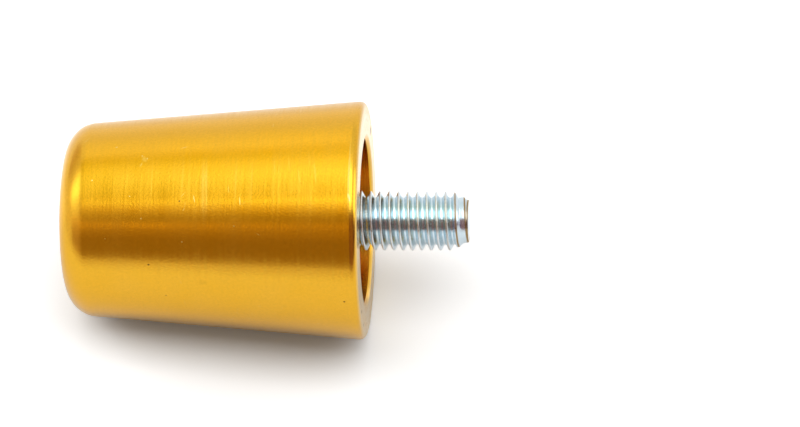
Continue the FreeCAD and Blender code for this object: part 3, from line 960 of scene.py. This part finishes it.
    # Strips from left to right, and where along direction X each one takes over from the last
    strips = [
        (reflector_stops, -0.96, -0.82),
        (front_stops + dim_stops + back_stops, -0.58, -0.42),
        (front_stops + bright_stops + back_stops, -0.300, -0.235),
        (dark_front_stops + glint_stops + back_stops, -0.17, -0.10),
        (rim_front_stops + hot_stops + back_stops, -0.04, 0.0),
        (rim_front_stops + side_stops + back_stops, 0.09, 0.24),
        (dark_front_stops + side_stops + back_stops, 0.55, 0.70),
    ]
    bands = ramp_of(wall_stops)
    for stops, before, after in strips:
        sideways = add_node(tree, "ShaderNodeMapRange", {"Value": split.outputs["X"], "From Min": before,
                                                         "From Max": after},
                            interpolation_type="SMOOTHSTEP")
        bands = add_node(tree, "ShaderNodeMix", {"Factor": sideways.outputs[0], "A": bands,
                                                 "B": ramp_of(stops)}, data_type="RGBA").outputs["Result"]
    path = add_node(tree, "ShaderNodeLightPath", {})
    grey = add_node(tree, "ShaderNodeMapRange", {"Value": share.outputs[0], "From Min": 0.3,
                                                 "From Max": 0.7, "To Min": 0.30, "To Max": 0.8})
    lit = add_node(tree, "ShaderNodeMix", {"Factor": path.outputs["Diffuse Depth"],
                                           "A": bands, "B": grey.outputs[0]},
                   data_type="RGBA")
    seen = add_node(tree, "ShaderNodeMix", {"Factor": path.outputs["Is Camera Ray"],
                                            "A": lit.outputs["Result"], "B": (1.0, 1.0, 1.0, 1.0)},
                    data_type="RGBA")
    light = add_node(tree, "ShaderNodeBackground", {"Color": seen.outputs["Result"], "Strength": 1.0})
    add_node(tree, "ShaderNodeOutputWorld", {"Surface": light.outputs[0]})


def add_lamp(name, place, width, length, power, mirrored):
    """A soft white lamp that faces the object. The camera never sees it, and the metal only if mirrored."""
    data = bpy.data.lights.new(name, "AREA")
    data.shape = "RECTANGLE"
    data.size = width
    data.size_y = length
    data.energy = power
    lamp = bpy.data.objects.new(name, data)
    lamp.location = place
    lamp.rotation_euler = (Vector() - Vector(place)).to_track_quat("-Z", "Y").to_euler()
    lamp.visible_camera = False
    lamp.visible_glossy = mirrored
    bpy.context.scene.collection.objects.link(lamp)


class BARWEIGHT_OT_make_weight(bpy.types.Operator):
    """Make the turned weight"""

    bl_idname = "barweight.make_weight"
    bl_label = "Make Weight"

    def execute(self, context):
        sizes = context.scene.bar_weight
        made = lathe("turned_weight", rounded_outline(weight_outline(sizes)), WEIGHT_SEGMENTS)
        made.data.materials.append(anodised_aluminium(sizes))
        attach(made, "root")
        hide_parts("weight_body")
        return {"FINISHED"}


class BARWEIGHT_OT_make_screw(bpy.types.Operator):
    """Make the socket-head cap screw"""

    bl_idname = "barweight.make_screw"
    bl_label = "Make Screw"

    def execute(self, context):
        sizes = context.scene.bar_screw
        made = make_screw(sizes)
        made.data.materials.append(zinc_plated_steel(sizes))
        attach(made, "root")
        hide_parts("fixing_screw")
        return {"FINISHED"}


class BARWEIGHT_OT_make_stage(bpy.types.Operator):
    """Make the floor, the surroundings, the lamps and the camera"""

    bl_idname = "barweight.make_stage"
    bl_label = "Make Stage"

    def execute(self, context):
        sizes = context.scene.bar_weight
        colours = context.scene.bar_stage
        tilt = math.atan(TAPER_DROP / sizes.length)
        reach = 3.0
        corners = [(-reach, -reach, 0), (reach, -reach, 0), (reach, reach, 0), (-reach, reach, 0)]
        floor = make_object("floor", corners, [(0, 1, 2, 3)])
        floor.matrix_world = (Matrix.Translation((0.0, 0.0, -sizes.large_diameter / 2))
                              @ Matrix.Rotation(tilt, 4, "Y"))
        floor.data.materials.append(matt_floor(colours))
        make_world(colours)
        add_lamp("overhead_lamp", (0.0, -0.10, 0.45), width=0.6, length=0.3,
                 power=colours.top_power, mirrored=False)
        add_lamp("left_lamp", (-0.52, 0.12, 0.30), width=0.4, length=0.4,
                 power=colours.left_power, mirrored=False)
        add_lamp("right_lamp", (0.55, 0.0, 0.30), width=0.4, length=0.4,
                 power=colours.right_power, mirrored=True)

        camera_data = bpy.data.cameras.new("camera")
        camera_data.sensor_width = CAMERA_SENSOR
        camera_data.lens = CAMERA_LENS
        camera = bpy.data.objects.new("camera", camera_data)
        turned = Matrix((CAMERA_RIGHT, CAMERA_UP, CAMERA_BACK)).transposed().to_4x4()
        camera.matrix_world = Matrix.Translation(CAMERA_PLACE) @ turned
        context.scene.collection.objects.link(camera)
        context.scene.camera = camera
        context.scene.view_settings.view_transform = "Standard"
        return {"FINISHED"}


class BARWEIGHT_PT_panel(bpy.types.Panel):
    """Sizes, colours and makers of the bar end weight"""

    bl_idname = "BARWEIGHT_PT_panel"
    bl_label = "Bar End Weight"
    bl_space_type = "VIEW_3D"
    bl_region_type = "UI"
    bl_category = "Bar End"

    def draw(self, context):
        scene = context.scene
        steps = ((scene.bar_weight, "barweight.make_weight"), (scene.bar_screw, "barweight.make_screw"),
                 (scene.bar_stage, "barweight.make_stage"))
        for settings, maker in steps:
            column = self.layout.column(align=True)
            for name in settings.__annotations__:
                column.prop(settings, name)
            column.operator(maker)


CLASSES = (WeightSettings, ScrewSettings, StageSettings, BARWEIGHT_OT_make_weight, BARWEIGHT_OT_make_screw,
           BARWEIGHT_OT_make_stage, BARWEIGHT_PT_panel)


def register():
    for item in CLASSES:
        bpy.utils.register_class(item)
    bpy.types.Scene.bar_weight = bpy.props.PointerProperty(type=WeightSettings)
    bpy.types.Scene.bar_screw = bpy.props.PointerProperty(type=ScrewSettings)
    bpy.types.Scene.bar_stage = bpy.props.PointerProperty(type=StageSettings)


def unregister():
    del bpy.types.Scene.bar_stage
    del bpy.types.Scene.bar_screw
    del bpy.types.Scene.bar_weight
    for item in reversed(CLASSES):
        bpy.utils.unregister_class(item)


def main():
    register()
    bpy.ops.barweight.make_weight()
    bpy.ops.barweight.make_screw()
    bpy.ops.barweight.make_stage()
    bpy.context.view_layer.update()


if __name__ == "__main__":
    main()
